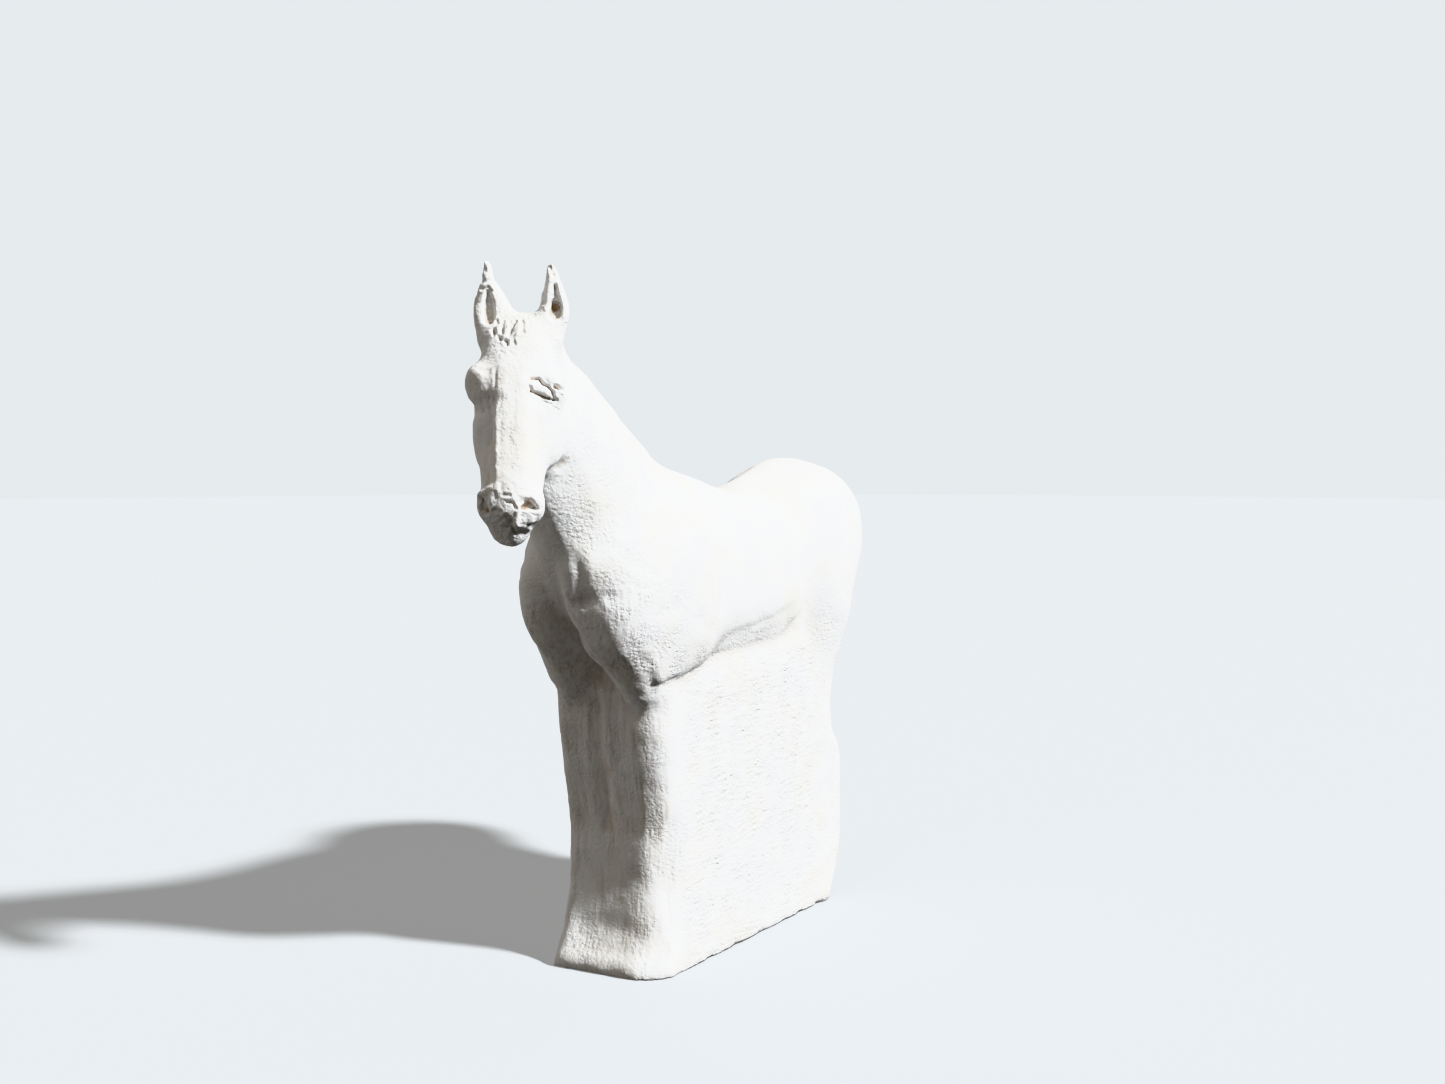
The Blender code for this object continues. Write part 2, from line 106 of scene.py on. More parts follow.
def light_surround():
    """A pale backdrop to the eye; as light, it is strongest from high on the horse's right."""
    world = bpy.data.worlds.new("studio_surround")
    bpy.context.scene.world = world
    world.use_nodes = True
    tree = world.node_tree
    tree.nodes.clear()
    ray = add_node(tree, "ShaderNodeLightPath")
    way = add_node(tree, "ShaderNodeTexCoord").outputs["Generated"]
    facing = add_node(tree, "ShaderNodeVectorMath", {0: way, 1: PALE_SIDE}, operation="DOT_PRODUCT")
    strength = add_node(tree, "ShaderNodeMapRange", {
        "Value": facing.outputs["Value"],
        "From Min": -1.0,
        "To Min": 0.0,
        "To Max": FILL_AT_STRONGEST,
    }).outputs[0]
    fill = add_node(tree, "ShaderNodeBackground", {"Color": linear(SURROUND_FILL), "Strength": strength})
    seen = add_node(tree, "ShaderNodeBackground", {"Color": linear(SURROUND_SEEN), "Strength": 1.0})
    to_eye = ray.outputs["Is Camera Ray"]
    mixed = add_node(tree, "ShaderNodeMixShader", {0: to_eye, 1: fill.outputs[0], 2: seen.outputs[0]})
    add_node(tree, "ShaderNodeOutputWorld", {"Surface": mixed.outputs[0]})


def hang_lamp():
    lamp = bpy.data.lights.new("window_lamp", "SUN")
    lamp.energy = LAMP_STRENGTH
    lamp.color = linear(LAMP_COLOUR)[:3]
    lamp.angle = math.radians(LAMP_ANGLE)
    obj = bpy.data.objects.new("window_lamp", lamp)
    obj.location = Vector(LAMP_SIDE) * LAMP_DISTANCE
    obj.rotation_euler = (-Vector(LAMP_SIDE)).to_track_quat("-Z", "Y").to_euler()
    bpy.context.scene.collection.objects.link(obj)


def set_camera():
    camera = bpy.data.cameras.new("photo_camera")
    camera.lens = PHOTO_LENS
    camera.sensor_width = 36.0
    camera.clip_start = 0.02
    obj = bpy.data.objects.new("photo_camera", camera)
    obj.location = CAMERA_PLACE
    obj.rotation_euler = (math.radians(90 - CAMERA_DIP), 0, math.radians(CAMERA_BEARING))
    bpy.context.scene.collection.objects.link(obj)
    bpy.context.scene.camera = obj


lay_floor()
light_surround()
hang_lamp()
set_camera()
bpy.context.scene.view_settings.view_transform = "Khronos PBR Neutral"

# The clay itself. The real horse is one body of coarse white stoneware, built up by hand on a board. The
# solid of the frame is its shape; here that shape gets a finer skin, finest on the head, to take the tool
# marks.
SKIN_VOXEL = 0.0025
WELD_DISTANCE = 0.00001
SKIN_EASING_ROUNDS = 4
HALVED_EASING_ROUNDS = 3
# Centre and reach in the head's own axes, in mm from the poll.
HEAD_REGION = ((0, -10, 50), (40, 46, 95))
EARS_REGION = ((1, -8, -12), (31, 17, 25))
LEFT_EYE_REGION = ((19, -2, 44), (12, 11, 11))
RIGHT_EYE_REGION = ((-15, 0, 41), (11, 9, 11))
MUZZLE_REGION = ((1, -6, 110), (21, 15, 17))
FORELOCK_REGION = ((-1, -2, 12), (12, 12, 14))
POLL = np.array([3.0, -200.0, 388.0])
HEAD_TURN = 29.0
HEAD_PITCH = 70.0


def head_axes():
    """Columns are the head's left, the way out of its face, and the way down its face."""
    turn = math.radians(HEAD_TURN)
    pitch = math.radians(HEAD_PITCH)
    facing = np.array([math.sin(turn), -math.cos(turn), 0.0])
    down = np.array([0.0, 0.0, -1.0])
    along = math.cos(pitch) * facing + math.sin(pitch) * down
    out = math.sin(pitch) * facing - math.cos(pitch) * down
    return np.stack([(math.cos(turn), math.sin(turn), 0.0), out, along], axis=1)


def points_of(mesh):
    flat = np.empty(len(mesh.vertices) * 3, dtype=np.float32)
    mesh.vertices.foreach_get("co", flat)
    return flat.reshape(-1, 3).astype(float)


def normals_of(mesh):
    flat = np.empty(len(mesh.vertices) * 3, dtype=np.float32)
    mesh.vertex_normals.foreach_get("vector", flat)
    return flat.reshape(-1, 3).astype(float)


def set_points(mesh, points):
    mesh.vertices.foreach_set("co", points.astype(np.float32).ravel())
    mesh.update()


def edges_of(mesh):
    flat = np.empty(len(mesh.edges) * 2, dtype=np.int64)
    mesh.edges.foreach_get("vertices", flat)
    return flat.reshape(-1, 2)


def neighbour_mean(values, edges):
    """Each vertex's mean over its neighbours, for one column of values or several."""
    columns = values.reshape(len(values), -1)
    count = np.bincount(edges.ravel(), minlength=len(values)).clip(1)
    total = np.stack([np.bincount(edges[:, 0], columns[edges[:, 1], i], len(values))
                      + np.bincount(edges[:, 1], columns[edges[:, 0], i], len(values))
                      for i in range(columns.shape[1])], axis=1)
    return (total / count[:, None]).reshape(values.shape)


def smooth(points, edges, rounds, share=0.5):
    """Evens out facets without shrinking: each round of easing in is followed by one of easing back."""
    back = 1.04 * share
    for _ in range(rounds):
        points = points + share * (neighbour_mean(points, edges) - points)
        points = points - back * (neighbour_mean(points, edges) - points)
    return points


def evaluated(obj):
    """The object's mesh with its modifiers worked in, as new data."""
    bpy.context.view_layer.update()
    return bpy.data.meshes.new_from_object(obj.evaluated_get(bpy.context.evaluated_depsgraph_get()))


def in_head_axes(points_mm):
    return (points_mm - POLL) @ head_axes()


def halve(obj, regions):
    """Halves the skin's quads inside the given regions of the head."""
    places = in_head_axes(points_of(obj.data) * 1000)
    inside = [np.linalg.norm((places - centre) / reach, axis=1) < 1 for centre, reach in regions]
    near = np.any(inside, axis=0)
    bm = bmesh.new()
    bm.from_mesh(obj.data)
    chosen = [edge for edge in bm.edges if near[edge.verts[0].index] and near[edge.verts[1].index]]
    bmesh.ops.subdivide_edges(bm, edges=chosen, cuts=1, use_grid_fill=True)
    bm.to_mesh(obj.data)
    bm.free()
    set_points(obj.data, smooth(points_of(obj.data), edges_of(obj.data), HALVED_EASING_ROUNDS))


def fine_skin():
    """A copy of the frame's solid, welded and reskinned in small even quads that are halved on the head."""
    bm = bmesh.new()
    bm.from_mesh(bpy.data.objects["stoneware_horse"].data)
    bmesh.ops.remove_doubles(bm, verts=bm.verts[:], dist=WELD_DISTANCE)
    mesh = bpy.data.meshes.new("horse_in_white_stoneware")
    bm.to_mesh(mesh)
    bm.free()
    obj = bpy.data.objects.new("horse_in_white_stoneware", mesh)
    bpy.context.scene.collection.objects.link(obj)
    skin = obj.modifiers.new("skin", "REMESH")
    skin.mode = "VOXEL"
    skin.voxel_size = SKIN_VOXEL
    obj.data = evaluated(obj)
    obj.modifiers.clear()
    set_points(obj.data, smooth(points_of(obj.data), edges_of(obj.data), SKIN_EASING_ROUNDS))
    halve(obj, [HEAD_REGION])
    halve(obj, [EARS_REGION, LEFT_EYE_REGION, RIGHT_EYE_REGION, MUZZLE_REGION, FORELOCK_REGION])
    obj.data.shade_smooth()
    return obj


horse = fine_skin()
# Every place of the skin in mm, the way it faces, and how deep it is pressed in, below 0 where clay is added.
clay = points_of(horse.data) * 1000
outward = normals_of(horse.data)
edges = edges_of(horse.data)
head = in_head_axes(clay)
head_outward = outward @ head_axes()
pressed = np.zeros(len(clay))


# The head. It was modelled with a pointed wooden tool: creases for the lids, pits for the nostrils and the
# forelock, a flat nasal plane with a crisp edge, rough lips, and two ears pinched to points with a hollow
# thumbed in each. A stroke is a path of places across and down the face, its width and its depth, in mm.
LEFT_LID_STROKES = [
    ([(10.2, 38.5), (14.8, 38.3), (16.6, 41.0), (19.8, 42.7), (21.9, 44.9), (22.3, 47.0)], 0.7, 1.3),
    ([(9.8, 42.4), (11.3, 45.5)], 0.7, 1.0),
    ([(11.4, 46.0), (14.4, 46.9), (17.0, 47.7), (20.3, 48.7)], 0.7, 1.2),
    ([(20.3, 48.7), (22.4, 49.0), (24.2, 48.5)], 0.6, 0.6),
    ([(23.4, 42.2), (25.2, 42.4), (26.6, 42.8)], 1.0, 2.4),
    ([(27.0, 39.5), (29.5, 40.0)], 0.7, 0.8),
    ([(17.5, 50.2), (21.0, 50.8)], 0.6, 0.5),
    ([(21.5, 52.0), (24.5, 52.4)], 0.5, 0.25),
    ([(12.5, 42.6), (16.0, 44.4), (19.4, 46.0)], 1.9, -1.0),
    ([(24.0, 45.4), (24.3, 46.4)], 1.6, -0.9),
    ([(17.0, 35.5), (22.5, 38.0)], 3.4, -0.5),
]
RIGHT_LID_STROKES = [
    ([(-18.0, 33.0), (-13.0, 34.5)], 1.4, 0.3),
    ([(-9.8, 48.0), (-14.0, 47.4), (-18.5, 48.0)], 1.8, 0.4),
    ([(-16.4, 48.0), (-15.2, 55.0)], 0.8, 0.5),
    ([(-12.2, 48.0), (-11.8, 57.0)], 0.8, 0.5),
    ([(-8.4, 33.0), (-8.0, 44.0)], 0.9, 0.4),
]
MUZZLE_STROKES = [
    ([(6.9, 109.4), (6.6, 113.2), (5.6, 117.0)], 1.0, -0.8),
    ([(5.5, 117.4), (11.0, 117.4), (13.5, 116.0)], 1.7, -1.5),
    ([(4.5, 122.6), (10.8, 122.0)], 2.0, 0.3),
    ([(-1.5, 118.0), (1.0, 119.0)], 0.7, 0.7),
    ([(3.6, 119.4), (4.8, 121.6)], 0.8, 0.8),
    ([(9.0, 104.4), (13.2, 103.6), (17.6, 106.6)], 1.4, -0.5),
    ([(-6.6, 100.4), (-10.6, 99.6), (-14.6, 101.4)], 2.0, -0.9),
    ([(-8.0, 104.0), (-8.4, 110.0)], 1.5, -0.6),
    ([(-3.0, 112.4), (-6.0, 111.0)], 0.9, 0.8),
    ([(0.5, 114.6), (3.2, 116.8)], 0.9, 0.8),
    ([(-1.0, 104.0), (2.4, 104.6)], 0.8, 0.6),
]
NOSE_STROKES = [
    ([(-7.0, 46.0), (-6.4, 72.0), (-4.8, 95.0), (-3.6, 104.0)], 1.1, -0.45),
    ([(-9.6, 50.0), (-9.0, 73.0), (-7.6, 94.0)], 1.5, 0.4),
    ([(-14.0, 58.0), (-13.4, 76.0), (-12.6, 92.0)], 1.2, -0.35),
    ([(1.0, 40.0), (1.6, 60.0), (2.0, 88.0)], 3.2, 0.2),
    ([(-4.0, 60.0), (-3.6, 78.0)], 0.7, 0.3),
    ([(0.6, 62.0), (1.0, 74.0)], 0.6, 0.25),
]
FORELOCK_STROKES = [
    ([(-10.6, 1.6), (-9.8, 3.6)], 0.8, 0.9),
    ([(-11.8, 8.0), (-10.8, 10.8)], 1.1, 1.3),
    ([(-8.2, 13.2), (-6.8, 15.4)], 0.9, 1.4),
    ([(-4.6, 15.8), (-3.4, 16.6), (-3.2, 18.6)], 0.9, 1.4),
    ([(0.2, 16.2), (1.2, 18.4)], 0.8, 0.9),
    ([(-6.6, 8.4), (-6.0, 11.4)], 0.7, 0.8),
    ([(0.4, 3.0), (-1.2, 7.0), (-2.2, 11.6)], 0.8, 0.9),
    ([(3.6, 2.5), (4.2, 7.0), (5.0, 10.5)], 1.0, 0.7),
    ([(0.5, -2.5), (9.5, -1.5)], 1.2, 0.8),
    ([(-4.6, 4.0), (-4.4, 14.0)], 1.3, -0.7),
    ([(2.2, 4.0), (1.4, 13.0)], 1.5, -0.7),
    ([(-8.6, 6.5), (-8.6, 12.0)], 1.2, -0.5),
    ([(-7.0, 22.0), (-4.0, 24.5)], 0.6, 0.35),
    ([(-2.0, 22.5), (1.0, 26.0)], 0.7, 0.4),
    ([(2.0, 28.0), (5.5, 33.5)], 0.6, 0.35),
    ([(-3.0, 30.0), (-1.0, 33.0)], 0.6, 0.3),
]
EAR_STROKES = [
    ([(-17.8, -28.0), (-17.2, -25.5)], 0.8, 0.5),
    ([(-20.6, -21.6), (-19.4, -21.0)], 1.3, 0.9),
    ([(-18.4, -19.6), (-15.0, -20.2)], 0.8, 0.6),
    ([(-19.2, -15.4), (-15.6, -16.6), (-13.6, -14.6)], 0.7, 1.0),
    ([(17.8, -28.4), (19.4, -25.0), (20.0, -23.0)], 1.0, 1.1),
    ([(18.0, -20.0), (17.0, -12.0), (16.4, -5.0)], 1.3, -0.7),
    ([(22.4, -22.0), (21.4, -19.0)], 0.7, 0.6),
]
EAR_HOLLOWS = [
    [(-15.8, -13.6, 1.5), (-15.5, -8.0, 2.9), (-15.0, 0.5, 2.7)],
    [(21.2, -17.5, 0.9), (21.2, -11.0, 2.3), (21.3, -5.0, 3.2), (21.2, -3.0, 3.1)],
]
NOSTRILS = [
    [(9.2, 109.8, 0.9), (12.4, 108.2, 2.3), (15.4, 109.6, 1.4)],
    [(-15.8, 104.0, 1.4), (-13.8, 107.6, 2.2), (-11.6, 110.6, 1.6)],
]
LIP_PIT = [(0.6, 107.8, 0.6), (4.0, 108.6, 1.0), (5.6, 111.0, 0.7)]
EAR_HOLLOW_DEPTH = 2.6
NOSTRIL_DEPTH = 3.4
LIP_PIT_DEPTH = 1.3
# In widths of the stroke: how far it reaches, and where and how broadly the clay pushed aside stands up.
STROKE_REACH = 3.5
LIP_PLACE = 1.9
LIP_BREADTH = 0.8
# As a share of the stroke's depth: the height of that clay beside a plain stroke and beside a crisp one.
PLAIN_LIP = 0.22
CRISP_LIP = 0.3
# Parts of the head where the tool left another finish: centre and reach as for the regions of the skin.
SMOOTHER_FACE = ((0, -8, 62), (34, 40, 50))
ROUGH_FORELOCK = ((-4, 0, 10), (10, 10, 11))
ROUGH_LIPS = ((2, -6, 117), (10, 14, 9))
SCRAPED_NOSE = ((-2, 0, 70), (15, 14, 34))


def ramp(values, start, end):
    """0 before the start, rising evenly to 1 at the end and beyond."""
    return np.clip((values - start) / (end - start), 0, 1)


def stroke_depth(places, path, width, depth, lip=PLAIN_LIP):
    """Depth of one tool stroke at each place: a soft groove with a little clay pushed up along its sides."""
    path = np.array(path, float)
    taken = np.zeros(len(places))
    margin = STROKE_REACH * width
    near = np.all((places > path.min(0) - margin) & (places < path.max(0) + margin), axis=1)
    local = places[near]
    closest = np.full(len(local), 1e9)
    for start, end in zip(path[:-1], path[1:]):
        run = end - start
        share = np.clip((local - start) @ run / (run @ run), 0, 1)
        closest = np.minimum(closest, np.linalg.norm(local - start - share[:, None] * run, axis=1))
    away = closest / width
    taken[near] = depth * (np.exp(-away**2) - lip * np.exp(-((away - LIP_PLACE) / LIP_BREADTH) ** 2))
    return taken


def scooped(places, line, depth, steepness=0.16):
    """Depth of a hollow thumbed along (across, down, radius) places, steep at its edge and flat inside."""
    reach = np.full(len(places), 9.0)
    for start, end in zip(line[:-1], line[1:]):
        start = np.array(start)
        end = np.array(end)
        run = (end - start)[:2]
        share = np.clip((places - start[:2]) @ run / (run @ run), 0, 1)
        radius = start[2] + share * (end[2] - start[2])
        away = np.linalg.norm(places - start[:2] - share[:, None] * run, axis=1)
        reach = np.minimum(reach, away / radius)
    return depth / (1 + np.exp(np.clip((reach - 1) / steepness, -30, 30)))


def head_patch(region, edge):
    """1 at the middle of a region of the head, fading out at its reach; a higher edge fades more sharply."""
    centre, reach = region
    return np.exp(-(np.linalg.norm((head - centre) / reach, axis=1)) ** edge)


face = head[:, [0, 2]]
on_front = ramp(head_outward[:, 1], 0, 0.3) * ramp(head[:, 1], -22, -18)
for path, width, depth in LEFT_LID_STROKES + RIGHT_LID_STROKES + MUZZLE_STROKES:
    pressed += stroke_depth(face, path, width, depth, lip=CRISP_LIP) * on_front
for path, width, depth in NOSE_STROKES + FORELOCK_STROKES + EAR_STROKES:
    pressed += stroke_depth(face, path, width, depth) * on_front
for line in EAR_HOLLOWS:
    pressed += scooped(face, line, EAR_HOLLOW_DEPTH) * on_front
for line in NOSTRILS:
    pressed += scooped(face, line, NOSTRIL_DEPTH) * on_front
pressed += scooped(face, LIP_PIT, LIP_PIT_DEPTH) * on_front

# How crumbly the clay was left, where 1 is the plain body of the horse.
crumbly = 1 - 0.35 * head_patch(SMOOTHER_FACE, 4)
crumbly += 0.9 * head_patch(ROUGH_FORELOCK, 2)
crumbly += 2.0 * head_patch(ROUGH_LIPS, 2)
on_nose = head_patch(SCRAPED_NOSE, 4)

# The chest and shoulder. Slabs of clay were beaten on and left: a hooked hollow on the breast, the crease
# where the foreleg leaves the chest, a shallow valley behind the shoulder, and a few faceted edges from the
# paddle. The paths run across and up the front, or back and up the side.
CHEST_STROKES = [
    ([(13.2, 258.0), (16.2, 246.0), (20.6, 231.5)], 1.9, 1.0),
    ([(9.0, 228.5), (15.0, 227.0), (21.5, 229.5)], 1.4, 0.7),
    ([(4.0, 252.0), (6.2, 240.0), (7.0, 230.0)], 2.2, -0.9),
    ([(0.5, 238.0), (2.0, 232.0)], 2.2, -1.2),
    ([(2.5, 226.0), (4.0, 215.0)], 2.6, -1.3),
    ([(-3.0, 222.0), (-2.0, 217.0)], 2.0, -0.9),
    ([(-12.0, 225.0), (-9.0, 212.0), (-6.0, 203.0)], 2.4, 0.8),
    ([(3.0, 216.0), (5.0, 206.0), (4.0, 196.0)], 2.4, 0.6),
    ([(22.0, 187.0), (37.0, 187.0)], 12.0, -2.6),
    ([(36.6, 187.0), (36.0, 180.0), (34.5, 173.0)], 1.3, 0.7),
    ([(27.0, 172.0), (33.0, 171.5), (38.0, 170.0)], 1.4, 0.3),
    ([(27.0, 232.0), (30.0, 227.0)], 1.6, -0.7),
    ([(-24.0, 214.0), (-20.0, 196.0), (-15.0, 184.0)], 2.8, 0.6),
]
SHOULDER_STROKES = [
    ([(-112.0, 229.5), (-103.0, 223.5), (-94.0, 218.0)], 1.5, -0.45),
    ([(-131.0, 218.0), (-121.0, 222.5)], 1.5, 0.45),
    ([(-116.0, 178.0), (-104.0, 178.5), (-97.0, 180.5)], 1.6, 0.8),
    ([(-150.0, 262.0), (-140.0, 250.0), (-128.0, 243.0)], 2.6, 0.4),
    ([(-74.0, 252.0), (-80.0, 234.0), (-81.0, 212.0)], 7.0, 0.9),
    ([(-146.0, 247.0), (-139.0, 241.0)], 1.5, -0.5),
]
# Clay is built out below the throat, on the left only, and the right of the croup is pressed flatter.
THROAT_SWELL = ([(-183.0, 293.0), (-178.0, 283.0), (-172.0, 268.0), (-168.0, 250.0)], 10.0, -2.8)
CROUP_PRESS = ([(-18.0, 60.0), (-15.0, 78.0), (-15.0, 95.0)], 7.0, 2.0)
BELOW_MUZZLE = 132

front = clay[:, [0, 2]]
side = clay[:, [1, 2]]
above = clay[:, :2]
to_front = ramp(-outward[:, 1], 0.15, 0.45) * (head[:, 2] > BELOW_MUZZLE)
to_left = ramp(outward[:, 0], 0.2, 0.5)
to_either_side = ramp(np.abs(outward[:, 0]), 0.2, 0.5)
to_top = ramp(outward[:, 2], 0.2, 0.5)
behind_jaw = (head[:, 2] > 60) * (head[:, 1] < -30)
for path, width, depth in CHEST_STROKES:
    pressed += to_front * stroke_depth(front, path, width, depth)
for path, width, depth in SHOULDER_STROKES:
    pressed += to_either_side * stroke_depth(side, path, width, depth)
pressed += to_left * behind_jaw * stroke_depth(side, *THROAT_SWELL, lip=0.0)
pressed += to_top * stroke_depth(above, *CROUP_PRESS, lip=0.0)

# The leg block. One upright slab stands for four legs: the front is scraped in shallow flutes, the flat sides
# are trowelled, clay is turned over in a seam under the belly, and the foot flares and is uneven where it was
# cut off its board.
FLUTE_STROKES = [
    ([(-9.5, 164.0), (-10.5, 120.0), (-12.0, 84.0)], 1.6, 0.5),
    ([(-3.0, 162.0), (-4.0, 120.0), (-8.5, 84.0)], 1.6, 0.4),
    ([(6.5, 160.0), (8.0, 132.0), (8.6, 118.0)], 1.8, 0.4),
    ([(18.0, 150.0), (20.0, 100.0), (19.0, 60.0)], 3.4, -0.4),
]
# The front of the foot is pressed back low down and filled out above that, with a few small lumps.
FOOT_STROKES = [
    ([(-36.0, 15.0), (28.0, 15.0)], 9.0, 2.4),
    ([(-22.0, 26.0), (14.0, 26.0)], 9.0, 2.0),
    ([(-28.0, 69.0), (14.0, 69.0)], 12.0, -1.7),
    ([(-31.0, 4.0), (-24.0, 5.0)], 4.0, -0.5),
    ([(-10.0, 20.0), (2.0, 22.0)], 5.0, -0.4),
    ([(12.0, 7.0), (20.0, 9.0)], 4.0, -0.4),
]
SEAM_STROKES = [
    ([(-88.0, 179.0), (-70.0, 183.0), (-45.0, 187.5), (-15.0, 187.5), (15.0, 189.0), (42.0, 190.5)],
     1.3, 0.25),
    ([(42.0, 190.5), (50.0, 198.0), (62.0, 205.0)], 1.4, 0.5),
    ([(-44.0, 193.0), (-20.0, 194.5), (5.0, 196.0), (30.0, 198.0)], 2.0, 0.2),
    ([(-4.0, 203.5), (14.0, 204.5), (30.0, 209.0)], 2.0, 0.25),
    ([(-40.0, 209.0), (-22.0, 209.5), (-6.0, 213.0)], 2.4, 0.2),
    ([(91.0, 112.0), (92.5, 84.0), (91.5, 50.0)], 1.2, 0.7),
    ([(80.0, 97.0), (84.0, 90.0), (80.0, 83.0)], 1.2, 0.4),
    ([(76.0, 128.0), (82.0, 120.0)], 1.4, 0.4),
    ([(-48.0, 190.0), (-15.0, 191.0), (15.0, 193.0), (40.0, 198.0)], 13.0, 2.6),
    ([(74.0, 128.0), (78.0, 112.0), (77.0, 98.0)], 2.0, 0.4),
]
# Bites out of the bottom edge: where each is, how long and how deep.
SIDE_CHIPS = [
    (-88, 7, 0.8), (-52, 9, 1.7), (-20, 8, 1.5), (14, 12, 1.2), (44, 9, 1.0), (67, 8, 1.8), (92, 8, 1.8),
]
FRONT_CHIPS = [(-30, 4, 1.0), (-12, 7, 1.4), (10, 8, 0.8), (28, 6, 1.0)]
CHIP_HEIGHT = 1.9
CHIP_FADE = 0.6
# Skin that faces down below the first level, and any skin below the second, lies flat in the underside.
UNDERSIDE_LEVEL = 1.6
GROUND_LEVEL = 0.3


def chipped(along, height, chips):
    """How far the bottom edge is bitten in where the clay tore off its board."""
    bite = sum(depth * np.exp(-(((along - at) / (CHIP_FADE * length)) ** 4)) for at, length, depth in chips)
    return bite * np.exp(-((height / CHIP_HEIGHT) ** 2))


for path, width, depth in FLUTE_STROKES + FOOT_STROKES:
    pressed += to_front * stroke_depth(front, path, width, depth)
for path, width, depth in SEAM_STROKES:
    pressed += to_either_side * stroke_depth(side, path, width, depth)

to_either_end = ramp(np.abs(outward[:, 1]), 0.5, 1.0)
pressed += to_either_side * chipped(clay[:, 1], clay[:, 2], SIDE_CHIPS)
pressed += to_either_end * chipped(clay[:, 0], clay[:, 2], FRONT_CHIPS)

# The flat sides, short of the block's corners and of the belly, are where the trowel went.
trowelled = ramp(np.abs(outward[:, 0]), 0.90, 0.98)
trowelled *= ramp(clay[:, 1], -84, -76) * ramp(clay[:, 1], 90, 82)
trowelled *= ramp(clay[:, 2], 188, 182)

clay -= outward * pressed[:, None]
underneath = (outward[:, 2] < -0.5) & (clay[:, 2] < UNDERSIDE_LEVEL)
clay[:, 2] = np.where(underneath | (clay[:, 2] < GROUND_LEVEL), 0.0, clay[:, 2])
set_points(horse.data, clay / 1000)

# The flanks, the left fore corner of the block and the front of the foot were rubbed smoother than the rest.
on_flank = ramp(clay[:, 1], -112, -82) * ramp(clay[:, 2], 190, 206)
on_corner = ramp(clay[:, 0], 24, 32) * ramp(clay[:, 1], -78, -90) * ramp(clay[:, 2], 176, 164)
on_foot = ramp(clay[:, 2], 60, 48) * to_front
crumbly *= 1 - 0.5 * on_flank - 0.4 * on_corner - 0.35 * on_foot * (1 - on_corner)

# The skin's grain. The clay is full of fired grit, so dragging it leaves a pebbled skin everywhere, and the
# trowel leaves low level ripples on the flat sides. The whole skin is raised by one rule. The grit is of
# about 1 mm, too fine for the render to show as shape, so its grain is drawn at 3.4 mm.
GRIT_SIZE = 0.0034
GRIT_HEIGHT = 0.00022
DAB_SIZE = 0.019
DAB_HEIGHT = 0.00080
DABS_ON_TROWELLED = 0.3
RIPPLE_PITCH = 0.0060
RIPPLE_HEIGHT = 0.00038
RIPPLE_STRETCH = (1.0, 0.22, 1.0)
# The grain fades out just above the underside, which stays flat.
PLAIN_BELOW = 0.0004
GRAINED_FROM = 0.003


def note_on_skin(name, values):
    layer = horse.data.attributes.new(name, "FLOAT", "POINT")
    layer.data.foreach_set("value", values.astype(np.float32))


